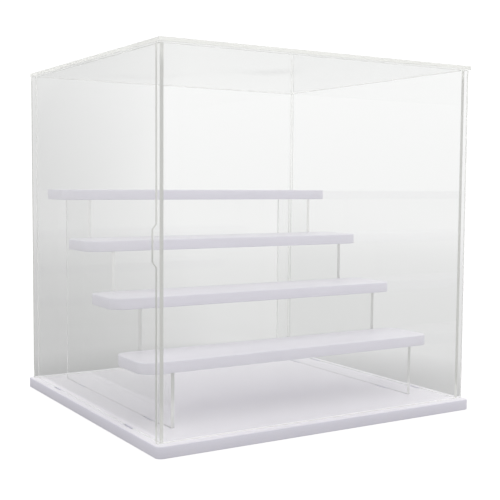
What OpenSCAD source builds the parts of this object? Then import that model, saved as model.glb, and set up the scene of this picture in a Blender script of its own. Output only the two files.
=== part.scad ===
// Flat-pack clear display case with a four-step stand inside.
// Frame: x = 0 and y = 0 at the middle of the base board, z = 0 at its underside,
// +X to the viewer's right, +Y to the back, +Z up. Millimetres.

/* [Base board] */
// Width of the base board, left to right
base_w = 300; // [300:5:400]
// Depth of the base board, front to back
base_d = 280; // [280:5:380]
// Thickness of the base board
base_t = 9; // [6:1:15]
// Radius of the base board's four corners
base_r = 5; // [1:1:15]

/* [Clear sheets] */
// Thickness of every clear sheet
sheet_t = 3; // [2.5:0.5:4]
// Height of the four walls, from the base board to the top panel
wall_h = 283; // [240:1:400]
// Distance from the base board's edge to the top panel's edge
top_inset = 3; // [2:0.5:4]
// Radius of the top panel's four corners
top_r = 2; // [0.5:0.5:6]
// Distance from the base board's front edge to the front panel
front_inset = 7; // [6:0.5:8]
// How far the front and back panels reach past the side panels
side_lap = 3; // [2:0.5:6]

/* [Wall joints] */
// Length of the wall tabs that enter the base board and the top panel
tab_w = 16; // [10:1:24]
// Distance between the two tabs on one edge of a side panel
side_tab_pitch = 152; // [100:1:180]
// Distance between the two upper tabs of the back panel
back_tab_pitch = 180; // [120:1:220]

/* [Finger ear] */
// Straight height of the finger ear on the front panel's left edge
ear_h = 23; // [15:0.5:40]
// Height of the slope at each end of the ear
ear_slope = 4; // [1:0.5:8]
// How far the ear stands out past the panel's upright edge
ear_out = 3; // [1:0.5:3]

/* [Stepped stand] */
// Distance between the middle planes of the two risers
riser_pitch = 234; // [180:2:240]
// Height of one step
step_rise = 42.5; // [30:0.5:55]
// Depth of one step, from riser edge to riser edge
step_run = 52.5; // [50:0.5:54]
// Depth of the highest step
top_run = 54.5; // [52:0.5:58]
// Distance from the base board's front edge to the risers' front edge
stand_front = 43; // [20:1:46]
// Distance between the two foot tabs of a riser
foot_tab_pitch = 140; // [80:2:160]

/* [Shelves] */
// Gap between the end of a shelf and the side panel
shelf_end_gap = 0.5; // [0.5:0.5:12]
// Thickness of each shelf board
shelf_t = 9; // [6:1:12]
// Radius of each shelf board's corners
shelf_r = 12; // [2:1:20]
// How far a shelf reaches in front of its step
shelf_nose = 1; // [0.5:0.5:3]
// Length of the locating tab on each tread
tread_tab_w = 14; // [8:1:24]

/* [Hidden] */
$fn = 64;
steps = 4;
cut = 1;             // how far a cutting shape reaches past the face it cuts
loose_gap = 0.3;     // gap round a tab that lifts out
fixed_gap = 0.1;     // gap round a tab that stays in its slot
seat_gap = 0.2;      // gap at a face that rests against another piece
tab_recess = 0.3;    // how far a tab's tip stays inside the far face of its slot
tread_tab_h = 3;     // height of the locating tabs on the treads
tread_slot_depth = 3.5;
shelf_back_gap = 0.5; // gap between a shelf and the riser edge behind it

front_w = base_w - 2 * top_inset;
side_x = front_w / 2 - side_lap - sheet_t / 2;       // middle plane of a side panel
front_y = base_d / 2 - front_inset - sheet_t / 2;    // middle plane of the front and back panels
side_len = 2 * front_y - sheet_t;
wall_z0 = base_t + seat_gap;
wall_z1 = base_t + wall_h - seat_gap;
wall_mid = base_t + wall_h / 2;
top_z0 = base_t + wall_h;
stand_y = -base_d / 2 + stand_front;
stand_len = (steps - 1) * step_run + top_run;
shelf_w = 2 * side_x - sheet_t - 2 * shelf_end_gap;
shelf_d = step_run + shelf_nose - shelf_back_gap;

// Flat board with round corners, resting on z = 0
module rounded_board(w, d, t, r) {
    linear_extrude(height = t) {
        square([w - 2 * r, d], center = true);
        square([w, d - 2 * r], center = true);
        for (sx = [-1, 1], sy = [-1, 1])
            translate([sx * (w / 2 - r), sy * (d / 2 - r)]) circle(r = r);
    }
}

// A block centred on x and y, from z0 to z1
module block(x, y, z0, z1) {
    translate([-x / 2, -y / 2, z0]) cube([x, y, z1 - z0]);
}

// Slots for the side panels' tabs, cut from z0 to z1
module side_slots(z0, z1) {
    for (sx = [-1, 1], sy = [-1, 1])
        translate([sx * side_x, sy * side_tab_pitch / 2, 0])
            block(sheet_t + 2 * loose_gap, tab_w + 2 * loose_gap, z0, z1);
}

// Slots for the back panel's upper tabs, cut from z0 to z1
module back_slots(z0, z1) {
    for (sx = [-1, 1])
        translate([sx * back_tab_pitch / 2, front_y, 0])
            block(tab_w + 2 * loose_gap, sheet_t + 2 * loose_gap, z0, z1);
}

// Slots for the risers' foot tabs
module foot_slots() {
    for (sx = [-1, 1], sy = [-1, 1])
        translate([sx * riser_pitch / 2, stand_y + stand_len / 2 + sy * foot_tab_pitch / 2, 0])
            block(sheet_t + 2 * fixed_gap, tab_w + 2 * fixed_gap, -cut, base_t + cut);
}

module base_board() {
    color("white")
    difference() {
        rounded_board(base_w, base_d, base_t, base_r);
        side_slots(-cut, base_t + cut);
        foot_slots();
    }
}

module top_panel() {
    color([0.90, 0.93, 0.90, 0.45])
    difference() {
        translate([0, 0, top_z0])
            rounded_board(front_w, base_d - 2 * top_inset, sheet_t, top_r);
        side_slots(top_z0 - cut, top_z0 + sheet_t + cut);
        back_slots(top_z0 - cut, top_z0 + sheet_t + cut);
    }
}

// Plain outline of the front and back panels in x and z
module wall_outline() {
    translate([-front_w / 2, wall_z0]) square([front_w, wall_z1 - wall_z0]);
}

// Ear for the fingers, half way up the front panel's left edge
module ear_outline() {
    half = front_w / 2;
    ear = half + ear_out;
    root = ear_h / 2 + ear_slope;
    polygon([[-ear, wall_mid - ear_h / 2], [-half, wall_mid - root],
             [cut - half, wall_mid - root], [cut - half, wall_mid + root],
             [-half, wall_mid + root], [-ear, wall_mid + ear_h / 2]]);
}

// The back panel's upper tabs
module back_tabs() {
    for (sx = [-1, 1])
        translate([sx * back_tab_pitch / 2 - tab_w / 2, wall_z1 - cut])
            square([tab_w, top_z0 + sheet_t - tab_recess - wall_z1 + cut]);
}

// An outline in x and z made a sheet, with its middle plane at y
module upright_sheet(y) {
    translate([0, y + sheet_t / 2, 0]) rotate([90, 0, 0])
        linear_extrude(height = sheet_t) children();
}

module front_panel() {
    color([0.88, 0.92, 0.90, 0.35])
        upright_sheet(-front_y) { wall_outline(); ear_outline(); }
}

module back_panel() {
    color([0.88, 0.92, 0.90, 0.35])
        upright_sheet(front_y) { wall_outline(); back_tabs(); }
}

// Side panel: its middle plane at x, with two tabs down and two tabs up
module side_panel(x) {
    reach = side_len / 2 - seat_gap;
    translate([x, 0, 0]) {
        block(sheet_t, 2 * reach, wall_z0, wall_z1);
        for (sy = [-1, 1])
            translate([0, sy * side_tab_pitch / 2, 0])
                block(sheet_t, tab_w, tab_recess, top_z0 + sheet_t - tab_recess);
    }
}

module left_panel() {
    color([0.86, 0.91, 0.90, 0.35]) side_panel(-side_x);
}

module right_panel() {
    color([0.86, 0.91, 0.90, 0.35]) side_panel(side_x);
}

// Front edge of step i in y, where step 1 is the highest and the furthest back
function step_y(i) = stand_y + (steps - i) * step_run;
// Depth of tread i
function tread_run(i) = i == 1 ? top_run : step_run;
// Height of tread i
function tread_z(i) = base_t + (steps + 1 - i) * step_rise;

// Stair-shaped upright sheet with its middle plane at x
module riser(x) {
    translate([x, 0, 0]) {
        for (i = [1:steps]) {
            translate([-sheet_t / 2, step_y(i), base_t])
                cube([sheet_t, stand_y + stand_len - step_y(i), tread_z(i) - base_t]);
            translate([0, step_y(i) + tread_run(i) / 2, 0])
                block(sheet_t, tread_tab_w, tread_z(i) - cut, tread_z(i) + tread_tab_h);
        }
        for (sy = [-1, 1])
            translate([0, stand_y + stand_len / 2 + sy * foot_tab_pitch / 2, 0])
                block(sheet_t, tab_w, tab_recess, base_t + cut);
    }
}

module left_riser() {
    color([0.84, 0.89, 0.88, 0.45]) riser(-riser_pitch / 2);
}

module right_riser() {
    color([0.84, 0.89, 0.88, 0.45]) riser(riser_pitch / 2);
}

// Shelf board on tread i, with two blind slots underneath for the riser's tabs
module shelf(i) {
    mid_y = step_y(i) - shelf_nose + shelf_d / 2;
    color("ghostwhite")
    difference() {
        translate([0, mid_y, tread_z(i)]) rounded_board(shelf_w, shelf_d, shelf_t, shelf_r);
        for (sx = [-1, 1])
            translate([sx * riser_pitch / 2, step_y(i) + tread_run(i) / 2, 0])
                block(sheet_t + 2 * fixed_gap, tread_tab_w + 2 * fixed_gap,
                      tread_z(i) - cut, tread_z(i) + tread_slot_depth);
    }
}

base_board();
front_panel();
back_panel();
left_panel();
right_panel();
top_panel();
left_riser();
right_riser();
shelf(1);  // shelf_1
shelf(2);  // shelf_2
shelf(3);  // shelf_3
shelf(4);  // shelf_4
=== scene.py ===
import bmesh
import bpy
import math
from mathutils import Matrix, Vector
from mathutils.geometry import delaunay_2d_cdt


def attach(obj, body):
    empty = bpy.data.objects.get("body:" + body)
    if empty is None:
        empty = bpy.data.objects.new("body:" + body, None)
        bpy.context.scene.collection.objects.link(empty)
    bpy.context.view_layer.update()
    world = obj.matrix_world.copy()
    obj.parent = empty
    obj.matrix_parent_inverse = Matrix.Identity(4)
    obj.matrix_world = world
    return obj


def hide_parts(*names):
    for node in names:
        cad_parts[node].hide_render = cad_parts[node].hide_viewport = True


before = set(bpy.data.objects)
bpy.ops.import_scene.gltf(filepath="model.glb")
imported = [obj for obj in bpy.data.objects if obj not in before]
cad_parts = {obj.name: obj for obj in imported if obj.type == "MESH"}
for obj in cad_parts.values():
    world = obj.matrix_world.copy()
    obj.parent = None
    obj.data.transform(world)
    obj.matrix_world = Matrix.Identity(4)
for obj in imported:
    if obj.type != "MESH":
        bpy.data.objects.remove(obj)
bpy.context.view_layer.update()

# ---------------------------------------------------------------- sizes, in millimetres, as in the CAD
MM = 0.001
STEPS = 4

BASE_W, BASE_D, BASE_T, BASE_R = 300, 280, 9, 5
SHEET_T = 3
WALL_H = 283
TOP_INSET, TOP_R = 3, 2
FRONT_INSET = 7
SIDE_LAP = 3

TAB_W = 16
SIDE_TAB_PITCH = 152
BACK_TAB_PITCH = 180
EAR_H, EAR_SLOPE, EAR_OUT = 23, 4, 3

RISER_PITCH = 234
STEP_RISE, STEP_RUN, TOP_RUN = 42.5, 52.5, 54.5
STAND_FRONT = 43
FOOT_TAB_PITCH = 140

SHELF_END_GAP = 0.5
SHELF_T, SHELF_R, SHELF_NOSE = 9, 12, 1
SHELF_BACK_GAP = 0.5
TREAD_TAB_W, TREAD_TAB_H, TREAD_SLOT_DEPTH = 14, 3, 3.5

LOOSE_GAP, FIXED_GAP, SEAT_GAP, TAB_RECESS = 0.3, 0.1, 0.2, 0.3

FRONT_W = BASE_W - 2 * TOP_INSET
SIDE_X = FRONT_W / 2 - SIDE_LAP - SHEET_T / 2
FRONT_Y = BASE_D / 2 - FRONT_INSET - SHEET_T / 2
SIDE_LEN = 2 * FRONT_Y - SHEET_T
WALL_Z0 = BASE_T + SEAT_GAP
WALL_Z1 = BASE_T + WALL_H - SEAT_GAP
WALL_MID = BASE_T + WALL_H / 2
TOP_Z0 = BASE_T + WALL_H
TAB_TOP = TOP_Z0 + SHEET_T - TAB_RECESS
STAND_Y = -BASE_D / 2 + STAND_FRONT
STAND_LEN = (STEPS - 1) * STEP_RUN + TOP_RUN
SHELF_W = 2 * SIDE_X - SHEET_T - 2 * SHELF_END_GAP
SHELF_D = STEP_RUN + SHELF_NOSE - SHELF_BACK_GAP

# Small broken edges, which the CAD leaves sharp
SHEET_ARRIS, SHEET_ARRIS_STEPS = 0.12, 1
BOARD_ARRIS, BOARD_ARRIS_STEPS = 0.7, 3
CORNER_STEPS = 10
SHARP_ANGLE = math.radians(40)
TRIANGLES_INSIDE = 1  # the kind of output asked of delaunay_2d_cdt
MERGE_WITHIN = 1e-5
TINY = 1e-6


# ---------------------------------------------------------------- outlines, anticlockwise in (u, v)
def rect(cu, cv, w, h):
    """Rectangle about a centre."""
    return [(cu - w / 2, cv - h / 2), (cu + w / 2, cv - h / 2),
            (cu + w / 2, cv + h / 2), (cu - w / 2, cv + h / 2)]


def round_rect(cu, cv, w, h, r):
    """Rectangle with round corners."""
    loop = []
    centres = [(1, -1, -90), (1, 1, 0), (-1, 1, 90), (-1, -1, 180)]
    for su, sv, start in centres:
        for i in range(CORNER_STEPS + 1):
            a = math.radians(start + 90 * i / CORNER_STEPS)
            loop.append((cu + su * (w / 2 - r) + r * math.cos(a),
                         cv + sv * (h / 2 - r) + r * math.sin(a)))
    return loop


def front_outline():
    """Front panel in x and z, with a finger ear half way up its left edge."""
    half = FRONT_W / 2
    tip, root = EAR_H / 2, EAR_H / 2 + EAR_SLOPE
    ear = [(-half, WALL_MID + root), (-half - EAR_OUT, WALL_MID + tip),
           (-half - EAR_OUT, WALL_MID - tip), (-half, WALL_MID - root)]
    return [(-half, WALL_Z0), (half, WALL_Z0), (half, WALL_Z1), (-half, WALL_Z1)] + ear


def back_outline():
    """Back panel in x and z, with two upper tabs."""
    half = FRONT_W / 2
    t0, t1 = (BACK_TAB_PITCH - TAB_W) / 2, (BACK_TAB_PITCH + TAB_W) / 2
    side = [(half, WALL_Z0), (half, WALL_Z1), (t1, WALL_Z1), (t1, TAB_TOP),
            (t0, TAB_TOP), (t0, WALL_Z1)]
    return side + [(-u, v) for u, v in reversed(side)]


def side_outline():
    """Side panels in y and z: two tabs down and two up."""
    reach = SIDE_LEN / 2 - SEAT_GAP
    t0, t1 = (SIDE_TAB_PITCH - TAB_W) / 2, (SIDE_TAB_PITCH + TAB_W) / 2
    half = [(t0, WALL_Z0), (t0, TAB_RECESS), (t1, TAB_RECESS), (t1, WALL_Z0),
            (reach, WALL_Z0), (reach, WALL_Z1),
            (t1, WALL_Z1), (t1, TAB_TOP), (t0, TAB_TOP), (t0, WALL_Z1)]
    return half + [(-u, v) for u, v in reversed(half)]


def step_y(i):
    """Front edge of step i in y, where step 1 is the highest and the furthest back."""
    return STAND_Y + (STEPS - i) * STEP_RUN


def tread_run(i):
    """Depth of tread i."""
    return TOP_RUN if i == 1 else STEP_RUN


def tread_z(i):
    """Height of tread i."""
    return BASE_T + (STEPS + 1 - i) * STEP_RISE


def tread_mid(i):
    """Middle of tread i in y."""
    return step_y(i) + tread_run(i) / 2


def riser_outline():
    """Stair-shaped riser in y and z: two foot tabs, and one locating tab on each tread."""
    mid = STAND_Y + STAND_LEN / 2
    back = STAND_Y + STAND_LEN
    loop = [(STAND_Y, BASE_T)]
    for side in (-1, 1):
        foot = mid + side * FOOT_TAB_PITCH / 2
        a, b = foot - TAB_W / 2, foot + TAB_W / 2
        loop += [(a, BASE_T), (a, TAB_RECESS), (b, TAB_RECESS), (b, BASE_T)]
    loop += [(back, BASE_T)]
    for i in range(1, STEPS + 1):
        z = tread_z(i)
        a, b = tread_mid(i) - TREAD_TAB_W / 2, tread_mid(i) + TREAD_TAB_W / 2
        rear = back if i == 1 else step_y(i - 1)
        loop += [(rear, z), (b, z), (b, z + TREAD_TAB_H), (a, z + TREAD_TAB_H), (a, z),
                 (step_y(i), z)]
    return loop


def side_slots():
    """Slots for the side panels' tabs, in the base board and in the top panel."""
    wide, long = SHEET_T + 2 * LOOSE_GAP, TAB_W + 2 * LOOSE_GAP
    return [rect(sx * SIDE_X, sy * SIDE_TAB_PITCH / 2, wide, long)
            for sx in (-1, 1) for sy in (-1, 1)]


def back_slots():
    """Slots for the back panel's upper tabs."""
    wide, long = TAB_W + 2 * LOOSE_GAP, SHEET_T + 2 * LOOSE_GAP
    return [rect(s * BACK_TAB_PITCH / 2, FRONT_Y, wide, long) for s in (-1, 1)]


def foot_slots():
    """Slots for the risers' foot tabs."""
    wide, long = SHEET_T + 2 * FIXED_GAP, TAB_W + 2 * FIXED_GAP
    mid = STAND_Y + STAND_LEN / 2
    return [rect(sx * RISER_PITCH / 2, mid + sy * FOOT_TAB_PITCH / 2, wide, long)
            for sx in (-1, 1) for sy in (-1, 1)]


def tread_slots(i):
    """Blind slots under shelf i for the risers' locating tabs."""
    wide, long = SHEET_T + 2 * FIXED_GAP, TREAD_TAB_W + 2 * FIXED_GAP
    return [rect(s * RISER_PITCH / 2, tread_mid(i), wide, long) for s in (-1, 1)]


# ---------------------------------------------------------------- flat pieces cut from sheet
def inset(loop, a):
    """The loop moved to its left by a, with mitred corners."""
    moved = []
    for i, q in enumerate(loop):
        p, q, r = Vector(loop[i - 1]), Vector(q), Vector(loop[(i + 1) % len(loop)])
        d0, d1 = (q - p).normalized(), (r - q).normalized()
        n0, n1 = Vector((-d0.y, d0.x)), Vector((-d1.y, d1.x))
        moved.append(q + (n0 + n1) * (a / (1 + n0.dot(n1))))
    return moved


def tidy(loop):
    """The loop without repeated points and points in the middle of a straight run."""
    loop = [p for i, p in enumerate(loop) if (Vector(p) - Vector(loop[i - 1])).length > TINY]
    kept = []
    for i, q in enumerate(loop):
        p, q, r = Vector(loop[i - 1]), Vector(q), Vector(loop[(i + 1) % len(loop)])
        if abs((q - p).normalized().cross((r - q).normalized())) > TINY:
            kept.append(tuple(q))
    return kept


def edge_profile(t, arris, steps):
    """Pairs of (inset, height) from the lower face to the upper face of a sheet."""
    lower = []
    for j in range(steps + 1):
        a = math.radians(90 * j / steps)
        lower.append((arris * (1 - math.sin(a)), -t / 2 + arris * (1 - math.cos(a))))
    return lower + [(d, -w) for d, w in reversed(lower)]


def ring(bm, loop, d, w):
    """Points along the loop, moved in by d, at the height w."""
    return [bm.verts.new((p.x * MM, p.y * MM, w * MM)) for p in inset(loop, d)]


def strip(bm, low, high, slot, smooth):
    """A band of faces between two rings."""
    n = len(low)
    for i in range(n):
        f = bm.faces.new((low[i], low[(i + 1) % n], high[(i + 1) % n], high[i]))
        f.material_index = slot
        f.smooth = smooth


def cap(bm, rings, up, slot):
    """A flat face of triangles between the outer ring and the holes' rings, which are convex."""
    flat = [v for one in rings for v in one]
    ring_of = {v: n for n, one in enumerate(rings) for v in one}
    order = {v: i for i, v in enumerate(flat)}
    edges = [(order[one[i - 1]], order[one[i]]) for one in rings for i in range(len(one))]
    points = [v.co.xy / MM for v in flat]
    found = delaunay_2d_cdt(points, edges, [], TRIANGLES_INSIDE, MERGE_WITHIN)
    faces, origins = found[2], found[3]
    for tri in faces:
        a, b, c = (flat[origins[i][0]] for i in tri)
        if ring_of[a] == ring_of[b] == ring_of[c] > 0:
            continue
        if (b.co - a.co).cross(c.co - a.co).z * up < 0:
            b, c = c, b
        f = bm.faces.new((a, b, c))
        f.material_index = slot


def pocket(bm, mouth, loop, t, depth, slot):
    """A blind slot from the lower face."""
    floor = ring(bm, loop, 0, -t / 2 + depth)
    strip(bm, mouth, floor, slot, False)
    cap(bm, [floor], -1, slot)


FACE, EDGE = 0, 1


def flat_piece(name, outline, t, arris, steps, holes=(), pockets=(), depth=0):
    """A closed flat piece with broken edges. Slot 0 is its two faces and slot 1 its cut edges."""
    bm = bmesh.new()
    profile = edge_profile(t, arris, steps)
    low, high = [], []
    for loop in [tidy(outline)] + [list(reversed(h)) for h in holes]:
        rings = [ring(bm, loop, d, w) for d, w in profile]
        for a, b in zip(rings, rings[1:]):
            strip(bm, a, b, EDGE, True)
        low.append(rings[0])
        high.append(rings[-1])
    for loop in pockets:
        turned = list(reversed(loop))
        mouth = ring(bm, turned, 0, -t / 2)
        pocket(bm, mouth, turned, t, depth, EDGE)
        low.append(mouth)
    cap(bm, low, -1, FACE)
    cap(bm, high, 1, FACE)
    mesh = bpy.data.meshes.new(name)
    bm.to_mesh(mesh)
    bm.free()
    mesh.set_sharp_from_angle(angle=SHARP_ANGLE)
    piece = bpy.data.objects.new(name, mesh)
    bpy.context.scene.collection.objects.link(piece)
    return piece


def sheet(name, outline, holes=()):
    """A clear sheet."""
    return flat_piece(name, outline, SHEET_T, SHEET_ARRIS, SHEET_ARRIS_STEPS, holes)


def board(name, outline, t, holes=(), pockets=(), depth=0):
    """A white board."""
    return flat_piece(name, outline, t, BOARD_ARRIS, BOARD_ARRIS_STEPS, holes, pockets, depth)


# u and v become these directions, and the sheet's thickness the third
LYING = Matrix.Identity(3)
FACING = Matrix(((1, 0, 0), (0, 0, -1), (0, 1, 0)))
SIDEWAYS = Matrix(((0, 0, 1), (1, 0, 0), (0, 1, 0)))


def put(piece, turn, place, body, node, materials):
    """Place a piece at rest, in millimetres, and let it ride in place of its CAD node."""
    for m in materials:
        piece.data.materials.append(m)
    piece.matrix_world = Matrix.Translation(Vector(place) * MM) @ turn.to_4x4()
    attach(piece, body)
    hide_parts(node)
    return piece


# ---------------------------------------------------------------- materials
def new_material(name):
    """An empty material, its node tree and its output."""
    mat = bpy.data.materials.new(name)
    mat.use_nodes = True
    tree = mat.node_tree
    tree.nodes.clear()
    out = tree.nodes.new("ShaderNodeOutputMaterial")
    return mat, tree, out


def add(tree, kind, **values):
    """A new node with these settings."""
    node = tree.nodes.new(kind)
    for key, value in values.items():
        setattr(node, key, value)
    return node


def own_coordinates(tree, scale):
    """The piece's own coordinates in metres, times scale."""
    where = add(tree, "ShaderNodeTexCoord")
    mapping = add(tree, "ShaderNodeMapping")
    mapping.inputs["Scale"].default_value = scale
    tree.links.new(where.outputs["Object"], mapping.inputs["Vector"])
    return mapping.outputs["Vector"]


def noise(tree, cells, detail, rough=0.5):
    """Noise from about 0 to 1, with so many cells to a metre along each axis."""
    node = add(tree, "ShaderNodeTexNoise")
    node.inputs["Scale"].default_value = 1.0
    node.inputs["Detail"].default_value = detail
    node.inputs["Roughness"].default_value = rough
    tree.links.new(own_coordinates(tree, cells), node.inputs["Vector"])
    return node.outputs["Fac"]


def ramp(tree, value, low, high, a, b):
    """value from low..high to a..b, held inside."""
    node = add(tree, "ShaderNodeMapRange")
    node.inputs["From Min"].default_value = low
    node.inputs["From Max"].default_value = high
    node.inputs["To Min"].default_value = a
    node.inputs["To Max"].default_value = b
    tree.links.new(value, node.inputs["Value"])
    return node.outputs["Result"]


def tint(tree, value, low, high):
    """A colour between low and high."""
    node = add(tree, "ShaderNodeMix", data_type="RGBA")
    node.inputs["A"].default_value = (*low, 1)
    node.inputs["B"].default_value = (*high, 1)
    tree.links.new(value, node.inputs["Factor"])
    return node.outputs["Result"]


def bump(tree, height, strength, distance):
    """A normal from a height between 0 and 1, which stands for 0 to distance in metres."""
    node = add(tree, "ShaderNodeBump")
    node.inputs["Strength"].default_value = strength
    node.inputs["Distance"].default_value = distance
    tree.links.new(height, node.inputs["Height"])
    return node.outputs["Normal"]


def clear_for(tree, out, shader, kinds):
    """Glass that rays of these kinds pass straight through, so that light reaches what is inside."""
    path = add(tree, "ShaderNodeLightPath")
    for kind in kinds:
        straight = add(tree, "ShaderNodeBsdfTransparent")
        straight.inputs["Color"].default_value = (*THROUGH, 1)
        mix = add(tree, "ShaderNodeMixShader")
        tree.links.new(path.outputs[kind], mix.inputs["Fac"])
        tree.links.new(shader, mix.inputs[1])
        tree.links.new(straight.outputs["BSDF"], mix.inputs[2])
        shader = mix.outputs["Shader"]
    tree.links.new(shader, out.inputs["Surface"])


ACRYLIC_IOR, BOARD_IOR = 1.49, 1.5
THROUGH = (0.988, 0.990, 0.988)
LAMP_RAYS = ("Is Shadow Ray", "Is Diffuse Ray")

# How many noise cells there are to a metre, along each of a piece's own axes
SMUDGE_CELLS = (14, 9, 14)
WAVE_CELLS = (9, 7, 9)
MARK_CELLS = (2600, 2600, 90)
CLOUD_CELLS = (45, 45, 40)
MOTTLE_CELLS = (22, 22, 60)
# Most of a noise lies between these two values
NOISE_LOW, NOISE_HIGH = 0.3, 0.7

SMUDGE_FROM, SMUDGE_TO, SMUDGE_ROUGH = 0.56, 0.78, 0.03
WAVE_STRENGTH, WAVE_DEPTH = 0.5, 0.00025
EDGE_CLEARNESS = 0.35
EDGE_ROUGH_LOW, EDGE_ROUGH_HIGH = 0.18, 0.26
MARK_STRENGTH, MARK_DEPTH = 0.06, 0.00002
GRAIN_STRENGTH = 0.3
BOARD_ROUGH_BELOW, BOARD_ROUGH_ABOVE = 0.05, 0.07


def acrylic_face(name, colour):
    """Polished faces of cast acrylic: a faint waviness and wiped smudges."""
    mat, tree, out = new_material(name)
    shader = add(tree, "ShaderNodeBsdfPrincipled")
    shader.inputs["Base Color"].default_value = (*colour, 1)
    shader.inputs["Transmission Weight"].default_value = 1.0
    shader.inputs["IOR"].default_value = ACRYLIC_IOR
    smudge = noise(tree, SMUDGE_CELLS, detail=4)
    tree.links.new(ramp(tree, smudge, SMUDGE_FROM, SMUDGE_TO, 0.0, SMUDGE_ROUGH),
                   shader.inputs["Roughness"])
    wave = noise(tree, WAVE_CELLS, detail=1)
    tree.links.new(bump(tree, wave, WAVE_STRENGTH, WAVE_DEPTH), shader.inputs["Normal"])
    clear_for(tree, out, shader.outputs["BSDF"], LAMP_RAYS)
    return mat


def acrylic_edge(name, pale, deep):
    """Laser-cut edges: cloudier than the faces and a little yellow-green, with fine marks."""
    mat, tree, out = new_material(name)
    shader = add(tree, "ShaderNodeBsdfPrincipled")
    shader.inputs["Transmission Weight"].default_value = EDGE_CLEARNESS
    shader.inputs["IOR"].default_value = ACRYLIC_IOR
    marks = noise(tree, MARK_CELLS, detail=2, rough=0.6)
    cloud = noise(tree, CLOUD_CELLS, detail=2)
    tree.links.new(tint(tree, cloud, pale, deep), shader.inputs["Base Color"])
    tree.links.new(ramp(tree, marks, NOISE_LOW, NOISE_HIGH, EDGE_ROUGH_LOW, EDGE_ROUGH_HIGH),
                   shader.inputs["Roughness"])
    tree.links.new(bump(tree, marks, MARK_STRENGTH, MARK_DEPTH), shader.inputs["Normal"])
    clear_for(tree, out, shader.outputs["BSDF"], LAMP_RAYS)
    return mat


def white_board(name, low, high, rough, grain, depth):
    """Satin white board: slight mottling between two colours and an even fine grain, with grain
    cells to the metre and a depth in metres."""
    mat, tree, out = new_material(name)
    shader = add(tree, "ShaderNodeBsdfPrincipled")
    mottle = noise(tree, MOTTLE_CELLS, detail=5, rough=0.6)
    tree.links.new(tint(tree, ramp(tree, mottle, NOISE_LOW, NOISE_HIGH, 0, 1), low, high),
                   shader.inputs["Base Color"])
    fine = noise(tree, (grain, grain, grain), detail=3, rough=0.65)
    least, most = rough - BOARD_ROUGH_BELOW, rough + BOARD_ROUGH_ABOVE
    tree.links.new(ramp(tree, fine, NOISE_LOW, NOISE_HIGH, least, most),
                   shader.inputs["Roughness"])
    tree.links.new(bump(tree, fine, GRAIN_STRENGTH, depth), shader.inputs["Normal"])
    shader.inputs["IOR"].default_value = BOARD_IOR
    tree.links.new(shader.outputs["BSDF"], out.inputs["Surface"])
    return mat


WALL_FACE = acrylic_face("clear_wall_face", (0.985, 0.988, 0.985))
WALL_EDGE = acrylic_edge("clear_wall_edge", (0.94, 0.94, 0.91), (0.90, 0.905, 0.87))
TOP_FACE = acrylic_face("clear_top_face", (0.985, 0.988, 0.982))
TOP_EDGE = acrylic_edge("clear_top_edge", (0.98, 0.98, 0.95), (0.93, 0.935, 0.90))
RISER_FACE = acrylic_face("clear_riser_face", (0.974, 0.977, 0.974))
RISER_EDGE = acrylic_edge("clear_riser_edge", (0.95, 0.95, 0.93), (0.90, 0.905, 0.88))
BASE_FACE = white_board("base_board_face", (0.811, 0.790, 0.833), (0.831, 0.810, 0.853),
                        0.32, 900, 0.00003)
# The base board's cut sides are the same board, coloured darker than its faces as painted shade on the
# sides
BASE_SIDE_PAINTED_SHADE = white_board("base_board_edge_painted_shade", (0.712, 0.697, 0.772), (0.737, 0.722, 0.792),
                        0.42, 1600, 0.00005)
SHELF_FACE = white_board("shelf_face", (0.750, 0.732, 0.785), (0.772, 0.754, 0.805),
                         0.34, 900, 0.00003)
SHELF_EDGE = white_board("shelf_edge", (0.735, 0.715, 0.785), (0.758, 0.738, 0.805),
                         0.42, 1600, 0.00005)


# ---------------------------------------------------------------- the pieces
def make_base():
    outline = round_rect(0, 0, BASE_W, BASE_D, BASE_R)
    piece = board("base_board_body", outline, BASE_T, side_slots() + foot_slots())
    put(piece, LYING, (0, 0, BASE_T / 2), "base", "base_board",
        (BASE_FACE, BASE_SIDE_PAINTED_SHADE))


def make_walls():
    piece = sheet("front_panel_sheet", front_outline())
    put(piece, FACING, (0, -FRONT_Y, 0), "front", "front_panel",
        (WALL_FACE, WALL_EDGE))
    piece = sheet("back_panel_sheet", back_outline())
    put(piece, FACING, (0, FRONT_Y, 0), "cover", "back_panel",
        (WALL_FACE, WALL_EDGE))
    for name, x in (("left_panel", -SIDE_X), ("right_panel", SIDE_X)):
        piece = sheet(name + "_sheet", side_outline())
        put(piece, SIDEWAYS, (x, 0, 0), "cover", name, (WALL_FACE, WALL_EDGE))


def make_top():
    outline = round_rect(0, 0, FRONT_W, BASE_D - 2 * TOP_INSET, TOP_R)
    piece = sheet("top_panel_sheet", outline, side_slots() + back_slots())
    put(piece, LYING, (0, 0, TOP_Z0 + SHEET_T / 2), "lid", "top_panel",
        (TOP_FACE, TOP_EDGE))


def make_risers():
    for name, x in (("left_riser", -RISER_PITCH / 2), ("right_riser", RISER_PITCH / 2)):
        piece = sheet(name + "_sheet", riser_outline())
        put(piece, SIDEWAYS, (x, 0, 0), "base", name, (RISER_FACE, RISER_EDGE))


def make_shelves():
    for i in range(1, STEPS + 1):
        mid = step_y(i) - SHELF_NOSE + SHELF_D / 2
        outline = round_rect(0, mid, SHELF_W, SHELF_D, SHELF_R)
        piece = board("shelf_%d_board" % i, outline, SHELF_T, (), tread_slots(i),
                      TREAD_SLOT_DEPTH)
        put(piece, LYING, (0, 0, tread_z(i) + SHELF_T / 2), "base", "shelf_%d" % i,
            (SHELF_FACE, SHELF_EDGE))


make_base()
make_walls()
make_top()
make_risers()
make_shelves()


# ---------------------------------------------------------------- camera
CAMERA_AT = (-0.43558, -0.72508, 0.19471)
CAMERA_YAW, CAMERA_PITCH, CAMERA_ROLL = 0.5523, 0.0709, 0.0071
CAMERA_LENS = 67.63


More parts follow.
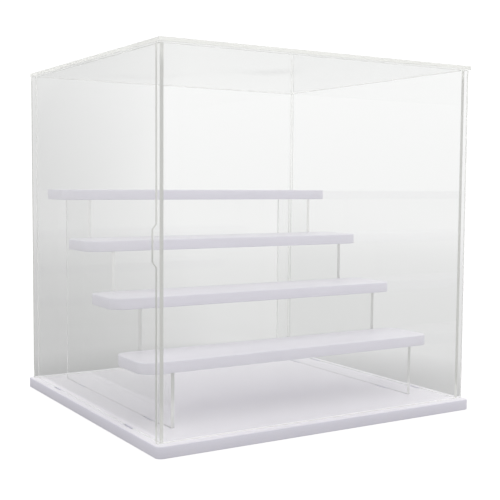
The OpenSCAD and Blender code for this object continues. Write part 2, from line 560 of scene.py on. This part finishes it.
def make_camera():
    """The photograph's camera, turned yaw to the right and pitch down."""
    ahead = Vector((math.sin(CAMERA_YAW) * math.cos(CAMERA_PITCH),
                    math.cos(CAMERA_YAW) * math.cos(CAMERA_PITCH), -math.sin(CAMERA_PITCH)))
    level = Vector((math.cos(CAMERA_YAW), -math.sin(CAMERA_YAW), 0))
    above = level.cross(ahead)
    right = level * math.cos(CAMERA_ROLL) + above * math.sin(CAMERA_ROLL)
    up = above * math.cos(CAMERA_ROLL) - level * math.sin(CAMERA_ROLL)
    data = bpy.data.cameras.new("camera")
    data.lens = CAMERA_LENS
    data.sensor_width = 36
    data.clip_start = 0.01
    data.clip_end = 60
    camera = bpy.data.objects.new("camera", data)
    turn = Matrix((right, up, -ahead)).transposed()
    camera.matrix_world = Matrix.Translation(CAMERA_AT) @ turn.to_4x4()
    bpy.context.scene.collection.objects.link(camera)
    bpy.context.scene.camera = camera


make_camera()


# ---------------------------------------------------------------- floor and light
FLOOR_HALF = 20.0

# The floor as seen directly: its own light, and the share of the light on it that it gives back
FLOOR_GLOW, FLOOR_WHITE = 0.70, (0.4, 0.4, 0.4, 1)

# The floor as seen through or in the acrylic: a grey glow by distance from the middle, in metres,
# darker near the case as painted shade
NEAR_GREY, FAR_GREY = 0.745, 0.91
FLOOR_NEAR, FLOOR_FAR = 0.1, 3.0
# Painted contact shadow: the floor's glow is darkened close round the case, for all but camera rays
FOOT_PAINTED_SHADOW = 0.66
FOOT_NEAR, FOOT_FAR = 0.16, 0.31

# The surroundings: seen directly, then by height for all other rays
SKY_SEEN = 1.1
SKY_LOW, SKY_HIGH = 0.94, 1.13
SKY_HIGH_FROM = 0.6

# A dimmer band of floor and sky behind the case, by the sine of the angle from the +Y axis. In the sky
# it is light; on the floor it is painted shade in the floor's glow. On the floor the angle is taken at
# the point that BAND_SHIFT moves to the middle.
BAND_FLOOR_PAINTED_SHADE, BAND_SKY = 0.77, 0.71
BAND_RIGHT, BAND_LEFT = (0.28, 0.45), (-0.38, -0.56)
BAND_TOP = 0.25
BAND_SHIFT = (0.3, 0.6, 0)


def multiply(tree, a, b):
    """The product of two values."""
    node = add(tree, "ShaderNodeMath", operation="MULTIPLY")
    tree.links.new(a, node.inputs[0])
    tree.links.new(b, node.inputs[1])
    return node.outputs["Value"]


def bearing(tree, vector):
    """How far a direction points right (1) or left (-1) of the +Y axis."""
    level = add(tree, "ShaderNodeVectorMath", operation="MULTIPLY")
    level.inputs[1].default_value = (1, 1, 0)
    unit = add(tree, "ShaderNodeVectorMath", operation="NORMALIZE")
    split = add(tree, "ShaderNodeSeparateXYZ")
    tree.links.new(vector, level.inputs[0])
    tree.links.new(level.outputs["Vector"], unit.inputs[0])
    tree.links.new(unit.outputs["Vector"], split.inputs["Vector"])
    return split.outputs["X"]


def band(tree, vector, low):
    """1 all round, falling to low in a band about the +Y axis."""
    side = bearing(tree, vector)
    lighter = add(tree, "ShaderNodeMath", operation="MAXIMUM")
    tree.links.new(ramp(tree, side, *BAND_RIGHT, low, 1.0), lighter.inputs[0])
    tree.links.new(ramp(tree, side, *BAND_LEFT, low, 1.0), lighter.inputs[1])
    return lighter.outputs["Value"]


def from_camera(tree):
    return add(tree, "ShaderNodeLightPath").outputs["Is Camera Ray"]


def floor_material():
    """A pale floor. Seen directly it is white with a soft contact shadow; seen through or in the
    acrylic it glows a light grey that pales with distance, with painted shade near the case, a painted
    contact shadow close round it, and the dimmer band behind painted into the glow."""
    mat, tree, out = new_material("studio_floor")
    where = add(tree, "ShaderNodeTexCoord").outputs["Object"]
    far = add(tree, "ShaderNodeVectorMath", operation="LENGTH")
    tree.links.new(where, far.inputs[0])
    grey = ramp(tree, far.outputs["Value"], FLOOR_NEAR, FLOOR_FAR, NEAR_GREY, FAR_GREY)
    shifted = add(tree, "ShaderNodeVectorMath", operation="ADD")
    shifted.inputs[1].default_value = BAND_SHIFT
    tree.links.new(where, shifted.inputs[0])
    # painted shade: the floor's glow dims in the band behind the case
    side = band(tree, shifted.outputs["Vector"], BAND_FLOOR_PAINTED_SHADE)
    # painted contact shadow: the glow is darker close round the case
    foot = ramp(tree, far.outputs["Value"], FOOT_NEAR, FOOT_FAR, FOOT_PAINTED_SHADOW, 1.0)
    seen = add(tree, "ShaderNodeEmission")
    level = multiply(tree, multiply(tree, grey, foot), side)
    tree.links.new(level, seen.inputs["Strength"])
    shade = add(tree, "ShaderNodeBsdfDiffuse")
    shade.inputs["Color"].default_value = FLOOR_WHITE
    glow = add(tree, "ShaderNodeEmission")
    glow.inputs["Strength"].default_value = FLOOR_GLOW
    white = add(tree, "ShaderNodeAddShader")
    tree.links.new(shade.outputs["BSDF"], white.inputs[0])
    tree.links.new(glow.outputs["Emission"], white.inputs[1])
    mix = add(tree, "ShaderNodeMixShader")
    tree.links.new(from_camera(tree), mix.inputs["Fac"])
    tree.links.new(seen.outputs["Emission"], mix.inputs[1])
    tree.links.new(white.outputs["Shader"], mix.inputs[2])
    tree.links.new(mix.outputs["Shader"], out.inputs["Surface"])
    return mat


def make_floor():
    """A floor at z = 0 that reaches past the view."""
    bm = bmesh.new()
    bmesh.ops.create_grid(bm, x_segments=1, y_segments=1, size=FLOOR_HALF)
    mesh = bpy.data.meshes.new("floor")
    bm.to_mesh(mesh)
    bm.free()
    mesh.materials.append(floor_material())
    floor = bpy.data.objects.new("floor", mesh)
    bpy.context.scene.collection.objects.link(floor)


def make_sky():
    """A soft white studio all round, brightest overhead, with the dimmer band low behind."""
    world = bpy.data.worlds.new("studio")
    bpy.context.scene.world = world
    world.use_nodes = True
    tree = world.node_tree
    tree.nodes.clear()
    out = tree.nodes.new("ShaderNodeOutputWorld")
    where = add(tree, "ShaderNodeTexCoord").outputs["Generated"]
    split = add(tree, "ShaderNodeSeparateXYZ")
    tree.links.new(where, split.inputs["Vector"])
    height = ramp(tree, split.outputs["Z"], 0.0, SKY_HIGH_FROM, SKY_LOW, SKY_HIGH)
    side = add(tree, "ShaderNodeMath", operation="MAXIMUM")
    tree.links.new(band(tree, where, BAND_SKY), side.inputs[0])
    tree.links.new(ramp(tree, split.outputs["Z"], 0.0, BAND_TOP, BAND_SKY, 1.0), side.inputs[1])
    level = multiply(tree, height, side.outputs["Value"])
    shown = add(tree, "ShaderNodeMix", data_type="FLOAT")
    tree.links.new(from_camera(tree), shown.inputs["Factor"])
    tree.links.new(level, shown.inputs["A"])
    shown.inputs["B"].default_value = SKY_SEEN
    sky = add(tree, "ShaderNodeBackground")
    sky.inputs["Color"].default_value = (1, 1, 1, 1)
    tree.links.new(shown.outputs["Result"], sky.inputs["Strength"])
    tree.links.new(sky.outputs["Background"], out.inputs["Surface"])


make_floor()
make_sky()

# Enough bounces for light to pass through all the sheets that stand one behind another
scene = bpy.context.scene
scene.view_settings.view_transform = "Standard"
scene.cycles.max_bounces = 24
scene.cycles.transmission_bounces = 20
scene.cycles.glossy_bounces = 14
scene.cycles.transparent_max_bounces = 24
